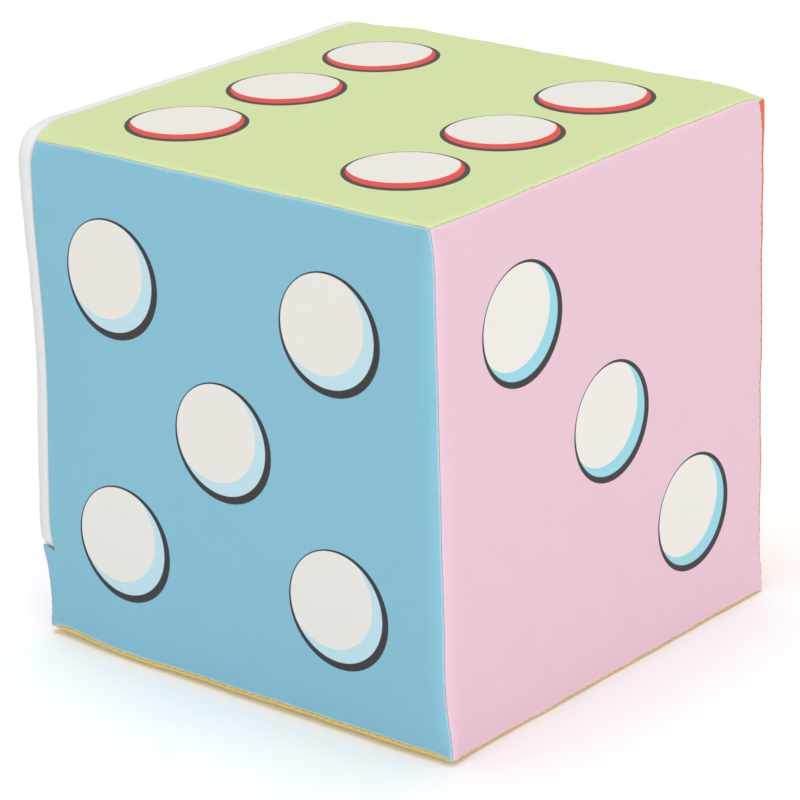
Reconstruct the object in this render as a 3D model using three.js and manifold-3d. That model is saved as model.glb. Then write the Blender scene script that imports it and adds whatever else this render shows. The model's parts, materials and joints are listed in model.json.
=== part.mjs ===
// A soft foam dice: a foam cube in a sewn cloth cover whose left side opens as a zipped flap.
// Millimetres, +Z up, origin at the middle of the face it rests on, front face towards -Y.
import * as THREE from 'three';
import { mergeVertices } from 'three/addons/utils/BufferGeometryUtils.js';
import loadManifold from 'manifold-3d';

const manifold = await loadManifold();
manifold.setup();

// Cover
const SIDE = 200;
const CLOTH = 0.5;
const SEAM_ALLOWANCE = 10;
const PANEL_CORNER_R = 1.6;
const HEM_ROLL_R = 0.4;
const THREAD_D = 0.5;
const THREAD_CLEAR = 0.2;
const CLEAR = 0.3;

// Foam
const FOAM_EDGE_R = 3;

// Zip tape
const ZIP_FRONT_END = 33;
const TAPE_T = 0.5;
const TAPE_W = 15;
const TAPE_REVEAL = 7.2;
const TAPE_CORNER_DEPTH = 0.5;
const TAPE_BEND_R = 2;
const TAPE_DIP_L = 1.8;
const TAPE_TAIL = 6;
const CHAIN_CORNER_R = 6;

// Zip teeth and stops
const CHAIN_HALF_W = 2.9;
const CHAIN_T = 2.2;
const TOOTH_PITCH = 3;
const TOOTH_TIP_W = 1;
const TOOTH_ROOT_W = 1.4;
const TOOTH_BITE = 0.6;
const FLAP_CHAIN_START = 3.5;
const FLAP_FIRST_TOOTH = 14;
const STOP_L = 3;
const STOP_CORNER_R = 0.75;
const STOP_MARGIN = 1;

// Slider and pull
const SLIDER_L = 13;
const SLIDER_PLATE_T = 1.2;
const SLIDER_WALL = 1.2;
const SLIDER_FLARE = 0.7;
const SLIDER_CHAIN_CLEAR = 0.4;
const SLIDER_SLOT_CLEAR = 0.35;
const SLIDER_MOUTH = 2.2;
const SLIDER_PARK_GAP = 1.5;
const CHAIN_IN_SLIDER = 3.25;
const POST_L = 4.4;
const POST_W = 2.2;
const BAIL_T = 1.6;
const BAIL_BAR = 1.1;
const BAIL_OPEN_L = 5.6;
const BAIL_OPEN_H = 2.2;
const PULL_L = 20;
const PULL_W = 5.6;
const PULL_T = 1.2;
const PULL_WINDOW_L = 6.2;
const PULL_RAIL = 1.3;

// Worked-out places
const HALF = SIDE / 2;
const HEM = 2 * CLOTH;
const CUT = 2;
// Rolled edges of two neighbouring panels face each other across the seam thread.
const SEAM_GAP = THREAD_D + 2 * THREAD_CLEAR;
const SEWN_INSET = CLOTH + (HEM + SEAM_GAP) / Math.SQRT2;
const THREAD_INSET = (SEWN_INSET + CLOTH) / 2;
const FOAM_DEPTH = HEM + CLEAR;
// Depths are measured inwards from the left face, and out-distances from the chain's middle line.
const TAPE_DEPTH = HEM + CLEAR;
const TAPE_MID = TAPE_DEPTH + TAPE_T / 2;
const TAPE_EDGE = CHAIN_HALF_W + CLEAR;
const SLIDER_INNER_HALF = CHAIN_HALF_W + SLIDER_CHAIN_CLEAR;
const SLIDER_HALF_W = SLIDER_INNER_HALF + SLIDER_WALL;
const SLIDER_SHOULDER = SLIDER_HALF_W + SLIDER_FLARE;
const SLIDER_HALF_H = CHAIN_T / 2 + SLIDER_CHAIN_CLEAR + SLIDER_PLATE_T;
const BEND_START = SLIDER_SHOULDER + CLEAR;
const CHAIN_INSET = BEND_START + TAPE_BEND_R + TAPE_CORNER_DEPTH;
const CHAIN_LINE = HALF - CHAIN_INSET;
const FLAP_EDGE = SLIDER_SHOULDER + 2 * CLEAR;
// Heights of the zip's ends, counted from the middle of the cube.
const FRONT_END = ZIP_FRONT_END - HALF;
const FOLD = FRONT_END + STOP_L + 2 * STOP_MARGIN;
const SLIDER_MIDDLE = FOLD - SLIDER_PARK_GAP - SLIDER_L / 2;
const BACK_END = SLIDER_MIDDLE - SLIDER_L / 2 - STOP_L - 2 * STOP_MARGIN;
const FRONT_JOG = FRONT_END - CLOTH - CLEAR;
const BACK_JOG = BACK_END - CLOTH - CLEAR;
// Chain length is counted from the fold on the front leg, over the top, to the fold on the back leg.
const LEG_L = CHAIN_LINE - CHAIN_CORNER_R - FOLD;
const ARC_L = CHAIN_CORNER_R * Math.PI / 2;
const RUN_L = 2 * (CHAIN_LINE - CHAIN_CORNER_R);
const CHAIN_L = 2 * LEG_L + 2 * ARC_L + RUN_L;
const ARC_STEPS = 6;
const BEND_STEPS = 5;
const THREAD_SIDES = 8;

const cloth = (color) => new THREE.MeshStandardMaterial({ color, roughness: 0.9, metalness: 0 });
const blueCloth = cloth(0x82bbd0);
const pinkCloth = cloth(0xe9c7d5);
const greenCloth = cloth(0xd0e0a6);
const orangeCloth = cloth(0xde6c32);
const yellowCloth = cloth(0xebc850);
const purpleCloth = cloth(0xb9a3cf);
const seamThread = cloth(0xb9aa9c);
const zipTape = cloth(0xebe9e6);
const foam = new THREE.MeshStandardMaterial({ color: 0xf1ead2, roughness: 1, metalness: 0 });
const zipPlastic = new THREE.MeshStandardMaterial({ color: 0xf2f1ee, roughness: 0.4, metalness: 0 });

// Solids

function toSolid(geometry) {
  const bare = geometry.clone();
  bare.deleteAttribute('normal');
  bare.deleteAttribute('uv');
  const merged = mergeVertices(bare);
  return new manifold.Manifold(new manifold.Mesh({
    numProp: 3,
    vertProperties: new Float32Array(merged.attributes.position.array),
    triVerts: new Uint32Array(merged.index.array),
  }));
}

function toGeometry(solid) {
  const mesh = solid.getMesh();
  const geometry = new THREE.BufferGeometry();
  geometry.setAttribute('position', new THREE.BufferAttribute(mesh.vertProperties, 3));
  geometry.setIndex(new THREE.BufferAttribute(mesh.triVerts, 1));
  geometry.computeVertexNormals();
  return geometry;
}

function cutAway(geometry, ...cutters) {
  const solid = cutters.reduce((left, cutter) => left.subtract(toSolid(cutter)), toSolid(geometry));
  return toGeometry(solid);
}

function joinTo(geometry, other) {
  return toGeometry(toSolid(geometry).add(toSolid(other)));
}

// An outline whose corners are rounded off.
function roundedShape(corners, radius) {
  const points = corners.map(([x, y]) => new THREE.Vector2(x, y));
  const shape = new THREE.Shape();
  points.forEach((corner, i) => {
    const before = points[(i + points.length - 1) % points.length];
    const after = points[(i + 1) % points.length];
    const enter = corner.clone().add(before.clone().sub(corner).setLength(radius));
    const leave = corner.clone().add(after.clone().sub(corner).setLength(radius));
    if (i === 0) {
      shape.moveTo(enter.x, enter.y);
    } else {
      shape.lineTo(enter.x, enter.y);
    }
    shape.quadraticCurveTo(corner.x, corner.y, leave.x, leave.y);
  });
  shape.closePath();
  return shape;
}

function sharpShape(corners) {
  return new THREE.Shape(corners.map(([x, y]) => new THREE.Vector2(x, y)));
}

// A flat slab between two depths below the face.
function slab(shape, outerDepth, innerDepth) {
  const depth = innerDepth - outerDepth;
  const geometry = new THREE.ExtrudeGeometry(shape, { depth, bevelEnabled: false, curveSegments: 4 });
  return geometry.translate(0, 0, -innerDepth);
}

// Cover panels, each drawn on its own face with the face's middle at 0, 0

function rectangle(left, right, bottom, top) {
  return [[left, bottom], [right, bottom], [right, top], [left, top]];
}

// A sheet with its seam allowance turned in, which makes a rolled rim of two layers.
function panel(outline, [left, right, bottom, top]) {
  const geometry = new THREE.ExtrudeGeometry(roundedShape(outline, PANEL_CORNER_R), {
    depth: HEM - 2 * HEM_ROLL_R,
    bevelThickness: HEM_ROLL_R,
    bevelSize: CLOTH,
    bevelSegments: 2,
    curveSegments: 3,
  }).translate(0, 0, HEM_ROLL_R - HEM);
  const inner = rectangle(
    left + SEAM_ALLOWANCE,
    right - SEAM_ALLOWANCE,
    bottom + SEAM_ALLOWANCE,
    top - SEAM_ALLOWANCE,
  );
  return cutAway(geometry, slab(sharpShape(inner), CLOTH, HEM + CUT));
}

const SEWN = HALF - SEWN_INSET;
const ZIPPED = HALF - TAPE_REVEAL - CLOTH;
const FLAP_HALF = CHAIN_LINE - FLAP_EDGE - CLOTH;

function sewnPanel() {
  return panel(rectangle(-SEWN, SEWN, -SEWN, SEWN), [-SEWN, SEWN, -SEWN, SEWN]);
}

function topPanel() {
  return panel(rectangle(-ZIPPED, SEWN, -SEWN, SEWN), [-ZIPPED, SEWN, -SEWN, SEWN]);
}

// Front and back panels step in beside the zip. The step is on the left of the outline.
function steppedOutline(jog) {
  return [[-SEWN, -SEWN], [SEWN, -SEWN], [SEWN, SEWN], [-ZIPPED, SEWN], [-ZIPPED, jog], [-SEWN, jog]];
}

function frontPanel() {
  return panel(steppedOutline(FRONT_JOG), [-ZIPPED, SEWN, -SEWN, SEWN]);
}

function backPanel() {
  const mirrored = steppedOutline(BACK_JOG).map(([x, y]) => [-x, y]).reverse();
  return panel(mirrored, [-SEWN, ZIPPED, -SEWN, SEWN]);
}

// The zipped side is one sheet, cut here along the line where it folds when it opens.
function leftPanelHalves() {
  const outline = [
    [-SEWN, -SEWN], [SEWN, -SEWN], [SEWN, FRONT_JOG], [FLAP_HALF, FRONT_JOG],
    [FLAP_HALF, FLAP_HALF], [-FLAP_HALF, FLAP_HALF], [-FLAP_HALF, BACK_JOG], [-SEWN, BACK_JOG],
  ];
  const whole = panel(outline, [-FLAP_HALF, FLAP_HALF, -SEWN, FLAP_HALF]);
  const above = rectangle(-SIDE, SIDE, FOLD - CLEAR / 2, SIDE);
  const below = rectangle(-SIDE, SIDE, -SIDE, FOLD + CLEAR / 2);
  return {
    base: cutAway(whole, slab(sharpShape(above), -CUT, HEM + CUT)),
    flap: cutAway(whole, slab(sharpShape(below), -CUT, HEM + CUT)),
  };
}

// Zip, drawn on the left face: the front leg is at +x, the back leg at -x

// A point on or beside the chain's middle line: along it from the fold, and out towards the cube's edges.
function chainPoint(along, out) {
  if (along > CHAIN_L / 2) {
    const [x, y] = chainPoint(CHAIN_L - along, out);
    return [-x, y];
  }
  if (along < LEG_L) {
    return [CHAIN_LINE + out, FOLD + along];
  }
  if (along < LEG_L + ARC_L) {
    const turn = (along - LEG_L) / CHAIN_CORNER_R;
    const radius = CHAIN_CORNER_R + out;
    const centre = CHAIN_LINE - CHAIN_CORNER_R;
    return [centre + radius * Math.cos(turn), centre + radius * Math.sin(turn)];
  }
  return [CHAIN_LINE - CHAIN_CORNER_R - (along - LEG_L - ARC_L), CHAIN_LINE + out];
}

// Places along the chain that its straights and corners need.
function chainStations(start, end) {
  const corner = Array.from({ length: ARC_STEPS + 1 }, (_, i) => LEG_L + ARC_L * i / ARC_STEPS);
  const mirrored = corner.map((along) => CHAIN_L - along).reverse();
  return [start, ...corner, ...mirrored, end];
}

// A section of [out, depth] points drawn along the chain's line and closed at both ends.
function sweepAlongChain(section, start, end) {
  const stations = chainStations(start, end);
  const count = section.length;
  const positions = stations.flatMap((along) => section.flatMap(([out, depth]) => {
    const [x, y] = chainPoint(along, out);
    return [x, y, -depth];
  }));
  const indices = [];
  for (let s = 0; s + 1 < stations.length; s += 1) {
    for (let i = 0; i < count; i += 1) {
      const here = s * count + i;
      const next = s * count + (i + 1) % count;
      indices.push(here, next, here + count, next, next + count, here + count);
    }
  }
  const caps = THREE.ShapeUtils.triangulateShape(section.map(([x, y]) => new THREE.Vector2(x, y)), []);
  const last = (stations.length - 1) * count;
  caps.forEach(([a, b, c]) => {
    indices.push(a, c, b);
    indices.push(last + a, last + b, last + c);
  });
  const geometry = new THREE.BufferGeometry();
  geometry.setAttribute('position', new THREE.Float32BufferAttribute(positions, 3));
  geometry.setIndex(indices);
  geometry.computeVertexNormals();
  return geometry;
}

// A closed section of even thickness around a middle line.
function ribbon(line, thickness) {
  const points = line.map(([x, y]) => new THREE.Vector2(x, y));
  const offsets = points.map((point, i) => {
    const before = point.clone().sub(points[Math.max(i - 1, 0)]).normalize();
    const after = points[Math.min(i + 1, points.length - 1)].clone().sub(point).normalize();
    const along = before.add(after).normalize();
    return new THREE.Vector2(-along.y, along.x).multiplyScalar(thickness / 2);
  });
  const leftSide = points.map((point, i) => point.clone().add(offsets[i]));
  const rightSide = points.map((point, i) => point.clone().sub(offsets[i]));
  return [...rightSide, ...leftSide.reverse()].map((point) => [point.x, point.y]);
}

// The cube's half of the tape lies beside the teeth, turns round the cube's edge and dips under the hem.
function bodyTape() {
  const bendOut = CHAIN_INSET - TAPE_CORNER_DEPTH - TAPE_T / 2;
  const bendR = TAPE_BEND_R - TAPE_T / 2;
  const bend = Array.from({ length: BEND_STEPS + 1 }, (_, i) => {
    const turn = i * Math.PI / 2 / BEND_STEPS;
    return [bendOut - bendR + bendR * Math.sin(turn), TAPE_MID + bendR - bendR * Math.cos(turn)];
  });
  const underHem = CHAIN_INSET - TAPE_MID;
  const line = [
    [TAPE_EDGE, TAPE_MID],
    ...bend,
    [bendOut, TAPE_REVEAL + CLEAR - TAPE_DIP_L],
    [underHem, TAPE_REVEAL + CLEAR],
    [underHem, TAPE_REVEAL + SEAM_ALLOWANCE],
  ];
  return sweepAlongChain(ribbon(line, TAPE_T), FRONT_END - FOLD, CHAIN_L + FOLD - BACK_END);
}

// The flap's half of the tape is a flat arch under the flap's rim.
function flapTape() {
  const start = CLEAR / 2;
  const inner = CHAIN_LINE - TAPE_W;
  const chainEdge = chainStations(start, CHAIN_L - start).map((along) => chainPoint(along, -TAPE_EDGE));
  const outline = [
    ...chainEdge,
    [-inner, FOLD + start],
    [-inner, inner],
    [inner, inner],
    [inner, FOLD + start],
  ];
  return slab(sharpShape(outline), TAPE_DEPTH, TAPE_DEPTH + TAPE_T);
}

// Below the fold the flap's tape runs on to the zip's ends and is tucked under the cover.
function tapeEnd(legSide, end) {
  const near = legSide * (CHAIN_LINE - TAPE_W);
  const far = legSide * (CHAIN_LINE - TAPE_EDGE);
  const outline = rectangle(Math.min(near, far), Math.max(near, far), end - TAPE_TAIL, FOLD - CLEAR / 2);
  return slab(sharpShape(outline), TAPE_DEPTH, TAPE_DEPTH + TAPE_T);
}

const CHAIN_OUTER = TAPE_MID - CHAIN_T / 2;
const CHAIN_INNER = TAPE_MID + CHAIN_T / 2;

// One half of the chain: a spine along the tape's edge with teeth that reach over the middle line.
function teeth(half, start, end, firstTooth, lastTooth) {
  const root = half * (TOOTH_BITE + CLEAR);
  const tip = -half * TOOTH_BITE;
  const stagger = half > 0 ? 0 : TOOTH_PITCH / 2;
  const toothEdge = [[start, root]];
  const firstIndex = Math.ceil((firstTooth - stagger) / TOOTH_PITCH);
  const lastIndex = Math.floor((lastTooth - stagger) / TOOTH_PITCH);
  for (let k = firstIndex; k <= lastIndex; k += 1) {
    const middle = k * TOOTH_PITCH + stagger;
    toothEdge.push([middle - TOOTH_ROOT_W / 2, root]);
    toothEdge.push([middle - TOOTH_TIP_W / 2, tip]);
    toothEdge.push([middle + TOOTH_TIP_W / 2, tip]);
    toothEdge.push([middle + TOOTH_ROOT_W / 2, root]);
  }
  toothEdge.push([end, root]);
  const backEdge = chainStations(start, end).reverse().map((along) => [along, half * CHAIN_HALF_W]);
  const outline = [...toothEdge, ...backEdge].map(([along, out]) => chainPoint(along, out));
  return slab(sharpShape(outline), CHAIN_OUTER, CHAIN_INNER);
}

function bodyTeeth() {
  const start = -STOP_MARGIN + CLEAR;
  const end = CHAIN_L + SLIDER_PARK_GAP + CHAIN_IN_SLIDER;
  return teeth(1, start, end, start + TOOTH_ROOT_W, end - TOOTH_ROOT_W);
}

function flapTeeth() {
  const end = CHAIN_L - FLAP_CHAIN_START;
  return teeth(-1, FLAP_CHAIN_START, end, FLAP_FIRST_TOOTH, CHAIN_L - FLAP_FIRST_TOOTH);
}

// A stop between the tapes' edges, from one out-distance to another.
function zipStop(legSide, outFrom, outTo, end) {
  const from = legSide * (CHAIN_LINE + outFrom);
  const to = legSide * (CHAIN_LINE + outTo);
  const bottom = end + STOP_MARGIN;
  const outline = rectangle(Math.min(from, to), Math.max(from, to), bottom, bottom + STOP_L);
  return slab(roundedShape(outline, STOP_CORNER_R), CHAIN_OUTER, CHAIN_INNER);
}

// Slider, drawn with the chain's middle line on y, its nose at +y and its outside at +z

function sliderOutline() {
  const shape = new THREE.Shape();
  const nose = SLIDER_HALF_W;
  const shoulder = SLIDER_SHOULDER;
  const end = SLIDER_L / 2;
  const r = SLIDER_WALL;
  shape.moveTo(-shoulder + r, -end);
  shape.quadraticCurveTo(0, -end + 2 * SLIDER_MOUTH, shoulder - r, -end);
  shape.quadraticCurveTo(shoulder, -end, shoulder, -end + r);
  shape.bezierCurveTo(shoulder, -end / 3, nose, -end / 3, nose, end / 3);
  shape.lineTo(nose, end - r);
  shape.quadraticCurveTo(nose, end, nose - r, end);
  shape.lineTo(-nose + r, end);
  shape.quadraticCurveTo(-nose, end, -nose, end - r);
  shape.lineTo(-nose, end / 3);
  shape.bezierCurveTo(-nose, -end / 3, -shoulder, -end / 3, -shoulder, -end + r);
  shape.quadraticCurveTo(-shoulder, -end, -shoulder + r, -end);
  return shape;
}

// The passage for the chain, with the wedge-shaped post left standing where it forks.
function chainPassage() {
  const end = SLIDER_L / 2 + CUT;
  const nose = SLIDER_INNER_HALF;
  const mouth = SLIDER_INNER_HALF + SLIDER_FLARE;
  const shape = sharpShape([[-mouth, -end], [mouth, -end], [nose, 0], [nose, end], [-nose, end], [-nose, 0]]);
  const postBottom = -SLIDER_L / 2 + SLIDER_MOUTH;
  const postTop = postBottom + POST_L;
  const post = new THREE.Path();
  post.moveTo(0, postTop);
  post.quadraticCurveTo(POST_W / 2, (postTop + postBottom) / 2, POST_W / 2, postBottom);
  post.lineTo(-POST_W / 2, postBottom);
  post.quadraticCurveTo(-POST_W / 2, (postTop + postBottom) / 2, 0, postTop);
  shape.holes.push(post);
  const reach = CHAIN_T / 2 + SLIDER_CHAIN_CLEAR;
  return slab(shape, -reach, reach);
}

function tapeSlot(hand) {
  const reach = TAPE_T / 2 + SLIDER_SLOT_CLEAR;
  const inner = hand * SLIDER_INNER_HALF / 2;
  const outer = hand * (SLIDER_SHOULDER + CUT);
  const end = SLIDER_L / 2 + CUT;
  const outline = rectangle(Math.min(inner, outer), Math.max(inner, outer), -end, end);
  return slab(sharpShape(outline), -reach, reach);
}

// The bridge over the outer plate that holds the pull.
function bail() {
  const half = BAIL_OPEN_L / 2;
  const foot = half + BAIL_BAR;
  const height = BAIL_OPEN_H + BAIL_BAR;
  const sunk = SLIDER_PLATE_T / 2;
  const shape = new THREE.Shape();
  shape.moveTo(-foot, -sunk);
  shape.lineTo(-half, -sunk);
  shape.lineTo(-half, BAIL_OPEN_H);
  shape.lineTo(half, BAIL_OPEN_H);
  shape.lineTo(half, -sunk);
  shape.lineTo(foot, -sunk);
  shape.lineTo(foot, height - BAIL_BAR);
  shape.quadraticCurveTo(foot, height, half, height);
  shape.lineTo(-half, height);
  shape.quadraticCurveTo(-foot, height, -foot, height - BAIL_BAR);
  shape.closePath();
  const geometry = new THREE.ExtrudeGeometry(shape, { depth: BAIL_T, bevelEnabled: false, curveSegments: 4 });
  geometry.translate(0, 0, -BAIL_T / 2);
  const upright = new THREE.Matrix4().makeBasis(
    new THREE.Vector3(0, 1, 0),
    new THREE.Vector3(0, 0, 1),
    new THREE.Vector3(1, 0, 0),
  );
  return geometry.applyMatrix4(upright).translate(0, 0, SLIDER_HALF_H);
}

function slider() {
  const block = slab(sliderOutline(), -SLIDER_HALF_H, SLIDER_HALF_H);
  const forked = cutAway(block, chainPassage(), tapeSlot(1), tapeSlot(-1));
  return joinTo(forked, bail());
}

// The pull hangs from its crossbar, which lies under the bail; the crossbar's middle is at 0, 0.
const PULL_PIVOT_Y = PULL_T - BAIL_OPEN_L / 2;
const PULL_PIVOT_Z = SLIDER_HALF_H + BAIL_OPEN_H / 2;

function pull() {
  const bar = PULL_T / 2;
  const outline = rectangle(-PULL_W / 2, PULL_W / 2, -PULL_L, bar);
  const shape = roundedShape(outline, PULL_RAIL);
  const opening = PULL_W / 2 - PULL_RAIL;
  shape.holes.push(sharpShape(rectangle(-opening, opening, -bar - PULL_WINDOW_L, -bar)));
  return slab(shape, -bar, bar);
}

// Foam core: a soft-edged block with the zip's bed cut round three edges of its left face

const BED_FRONT = FRONT_END - TAPE_TAIL - CLEAR;
const BED_BACK = BACK_END - TAPE_TAIL - CLEAR;

function squareArch(half) {
  return [[half, BED_FRONT], [half, half], [-half, half], [-half, BED_BACK]];
}

function roundArch(out) {
  const stations = chainStations(BED_FRONT - FOLD, CHAIN_L + FOLD - BED_BACK);
  return stations.map((along) => chainPoint(along, out));
}

// Everything outside an arch, down to a depth.
function archCutter(arch, depth) {
  const around = [[-SIDE, BED_BACK], [-SIDE, SIDE], [SIDE, SIDE], [SIDE, BED_FRONT]];
  return slab(sharpShape([...arch, ...around]), -CUT, depth);
}

function foamCore() {
  const half = HALF - FOAM_DEPTH;
  const flat = half - FOAM_EDGE_R;
  const block = new THREE.ExtrudeGeometry(
    roundedShape(rectangle(-flat, flat, -flat, flat), FOAM_EDGE_R),
    {
      depth: 2 * flat,
      bevelThickness: FOAM_EDGE_R,
      bevelSize: FOAM_EDGE_R,
      bevelSegments: 3,
      curveSegments: 3,
    },
  ).translate(0, 0, -HALF - flat);
  const underTape = TAPE_DEPTH + TAPE_T + CLEAR;
  const edgeBed = archCutter(roundArch(CHAIN_INSET - underTape), TAPE_REVEAL + SEAM_ALLOWANCE + CLEAR);
  const faceBed = archCutter(squareArch(CHAIN_LINE - TAPE_W - CLEAR), underTape);
  const sliderReach = TAPE_MID + SLIDER_HALF_H + CLEAR;
  const sliderBed = archCutter(squareArch(CHAIN_LINE - SLIDER_SHOULDER - CLEAR), sliderReach);
  return cutAway(block, edgeBed, faceBed, sliderBed);
}

// Assembly

const dice = new THREE.Group();
dice.position.z = HALF;

function addPiece(parent, name, geometry, material) {
  const piece = new THREE.Mesh(geometry, material);
  piece.name = name;
  parent.add(piece);
  return piece;
}

// A face of the cube as a group whose +z points out of the cube. Upright faces are numbered by quarter turns.
function uprightFace(quarterTurns) {
  const turned = new THREE.Group();
  turned.rotation.z = quarterTurns * Math.PI / 2;
  const face = new THREE.Group();
  face.rotation.x = Math.PI / 2;
  face.position.y = -HALF;
  turned.add(face);
  dice.add(turned);
  return face;
}

function levelFace(up) {
  const face = new THREE.Group();
  face.rotation.x = up > 0 ? 0 : Math.PI;
  face.position.z = up * HALF;
  dice.add(face);
  return face;
}

const front = uprightFace(0);
const right = uprightFace(1);
const back = uprightFace(2);
const left = uprightFace(3);
const top = levelFace(1);
const bottom = levelFace(-1);

addPiece(left, 'foam_core', foamCore(), foam);
addPiece(front, 'front_panel', frontPanel(), blueCloth);
addPiece(right, 'right_panel', sewnPanel(), pinkCloth);
addPiece(back, 'back_panel', backPanel(), orangeCloth);
addPiece(top, 'top_panel', topPanel(), greenCloth);
addPiece(bottom, 'bottom_panel', sewnPanel(), yellowCloth);

const leftPanel = leftPanelHalves();
addPiece(left, 'left_panel_base', leftPanel.base, purpleCloth);
addPiece(left, 'left_panel_flap', leftPanel.flap, purpleCloth);

addPiece(left, 'zip_tape_body', bodyTape(), zipTape);
addPiece(left, 'zip_tape_flap', flapTape(), zipTape);
addPiece(left, 'zip_tape_end_front', tapeEnd(1, FRONT_END), zipTape);
addPiece(left, 'zip_tape_end_back', tapeEnd(-1, BACK_END), zipTape);
addPiece(left, 'zip_teeth_body', bodyTeeth(), zipPlastic);
addPiece(left, 'zip_teeth_flap', flapTeeth(), zipPlastic);
addPiece(left, 'zip_bottom_stop', zipStop(1, -CHAIN_HALF_W, CHAIN_HALF_W, FRONT_END), zipPlastic);
addPiece(left, 'zip_top_stop_body', zipStop(-1, CLEAR, CHAIN_HALF_W, BACK_END), zipPlastic);
addPiece(left, 'zip_top_stop_flap', zipStop(-1, -CHAIN_HALF_W, -CLEAR, BACK_END), zipPlastic);

const sliderPlace = new THREE.Group();
sliderPlace.position.set(-CHAIN_LINE, SLIDER_MIDDLE, -TAPE_MID);
left.add(sliderPlace);
addPiece(sliderPlace, 'zip_slider', slider(), zipPlastic);
addPiece(sliderPlace, 'zip_pull', pull(), zipPlastic).position.set(0, PULL_PIVOT_Y, PULL_PIVOT_Z);

// Seam threads, one for each sewn edge of the cube

function addThread(name, from, to) {
  const start = new THREE.Vector3(...from);
  const run = new THREE.Vector3(...to).sub(start);
  const radius = THREAD_D / 2;
  const geometry = new THREE.CylinderGeometry(radius, radius, run.length(), THREAD_SIDES);
  const thread = addPiece(dice, name, geometry, seamThread);
  thread.position.copy(start).addScaledVector(run, 0.5);
  thread.quaternion.setFromUnitVectors(new THREE.Vector3(0, 1, 0), run.normalize());
}

const SEAM = HALF - THREAD_INSET;
const SEAM_END = SEWN - CLOTH;

addThread('seam_bottom_front', [-SEAM_END, -SEAM, -SEAM], [SEAM_END, -SEAM, -SEAM]);
addThread('seam_bottom_back', [-SEAM_END, SEAM, -SEAM], [SEAM_END, SEAM, -SEAM]);
addThread('seam_bottom_right', [SEAM, -SEAM_END, -SEAM], [SEAM, SEAM_END, -SEAM]);
addThread('seam_bottom_left', [-SEAM, -SEAM_END, -SEAM], [-SEAM, SEAM_END, -SEAM]);
addThread('seam_top_front', [-ZIPPED, -SEAM, SEAM], [SEAM_END, -SEAM, SEAM]);
addThread('seam_top_back', [-ZIPPED, SEAM, SEAM], [SEAM_END, SEAM, SEAM]);
addThread('seam_top_right', [SEAM, -SEAM_END, SEAM], [SEAM, SEAM_END, SEAM]);
addThread('seam_front_right', [SEAM, -SEAM, -SEAM_END], [SEAM, -SEAM, SEAM_END]);
addThread('seam_back_right', [SEAM, SEAM, -SEAM_END], [SEAM, SEAM, SEAM_END]);
addThread('seam_front_left', [-SEAM, -SEAM, -SEAM_END], [-SEAM, -SEAM, FRONT_JOG]);
addThread('seam_back_left', [-SEAM, SEAM, -SEAM_END], [-SEAM, SEAM, BACK_JOG]);

export default dice;
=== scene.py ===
"""Looks of the soft foam dice: sewn cloth panels, seams, zip and foam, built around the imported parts.

Shapes are worked out in millimetres from the middle of the cube, and meshes are made in metres.
"""
import json
import math

import bpy
import numpy as np
from mathutils import Matrix, Vector
from mathutils.geometry import delaunay_2d_cdt


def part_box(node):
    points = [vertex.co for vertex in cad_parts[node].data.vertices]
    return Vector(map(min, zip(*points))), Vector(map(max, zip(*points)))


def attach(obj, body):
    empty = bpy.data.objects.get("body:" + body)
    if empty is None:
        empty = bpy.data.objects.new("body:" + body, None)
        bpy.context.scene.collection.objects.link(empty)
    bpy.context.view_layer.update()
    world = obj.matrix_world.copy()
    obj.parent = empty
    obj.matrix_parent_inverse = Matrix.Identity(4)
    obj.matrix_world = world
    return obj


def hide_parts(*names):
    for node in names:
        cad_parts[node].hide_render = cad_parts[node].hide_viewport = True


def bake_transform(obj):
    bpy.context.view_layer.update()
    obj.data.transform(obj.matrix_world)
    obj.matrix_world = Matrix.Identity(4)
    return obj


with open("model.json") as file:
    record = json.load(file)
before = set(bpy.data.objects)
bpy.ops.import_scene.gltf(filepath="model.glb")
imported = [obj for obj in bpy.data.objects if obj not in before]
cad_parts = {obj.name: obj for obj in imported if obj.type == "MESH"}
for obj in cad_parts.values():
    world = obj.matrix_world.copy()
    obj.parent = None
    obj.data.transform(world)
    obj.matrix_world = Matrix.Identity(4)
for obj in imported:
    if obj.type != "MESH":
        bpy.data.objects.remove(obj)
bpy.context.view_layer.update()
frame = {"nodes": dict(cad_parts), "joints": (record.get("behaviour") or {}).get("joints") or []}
JOINTS = {joint["name"]: joint for joint in frame["joints"]}

# Sizes from the frame

MM = 0.001
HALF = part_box("right_panel")[1].x / MM


def lowest(node, axis):
    """A node's lowest place on an axis, from the middle of the cube."""
    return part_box(node)[0][axis] / MM - (HALF if axis == 2 else 0)


def highest(node, axis):
    """A node's highest place on an axis, from the middle of the cube."""
    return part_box(node)[1][axis] / MM - (HALF if axis == 2 else 0)


FOLD = JOINTS["flap_fold"]["pos_m"][2] / MM - HALF
CHAIN_LINE = JOINTS["pull_swing"]["pos_m"][1] / MM
CHAIN_INSET = HALF - CHAIN_LINE
ZIP_HEM = lowest("top_panel", 0)
FLAP_HEM = highest("left_panel_flap", 2)
FRONT_JOG = highest("seam_front_left", 2)
BACK_JOG = highest("seam_back_left", 2)
ZIP_BACK_END = lowest("zip_tape_body", 2)
STOP_MARGIN = 1.0
ZIP_FRONT_END = lowest("zip_bottom_stop", 2) - STOP_MARGIN
TAPE_T = highest("zip_tape_flap", 0) - lowest("zip_tape_flap", 0)
TAPE_MID = HALF + lowest("zip_tape_flap", 0) + TAPE_T / 2
TAPE_INNER = highest("zip_tape_end_front", 1)
TAPE_TAIL_FRONT = lowest("zip_tape_end_front", 2)
TAPE_TAIL_BACK = lowest("zip_tape_end_back", 2)
TAPE_UNDER_HEM = HALF + highest("zip_tape_body", 0)

# Edges and corners of the cover

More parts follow.
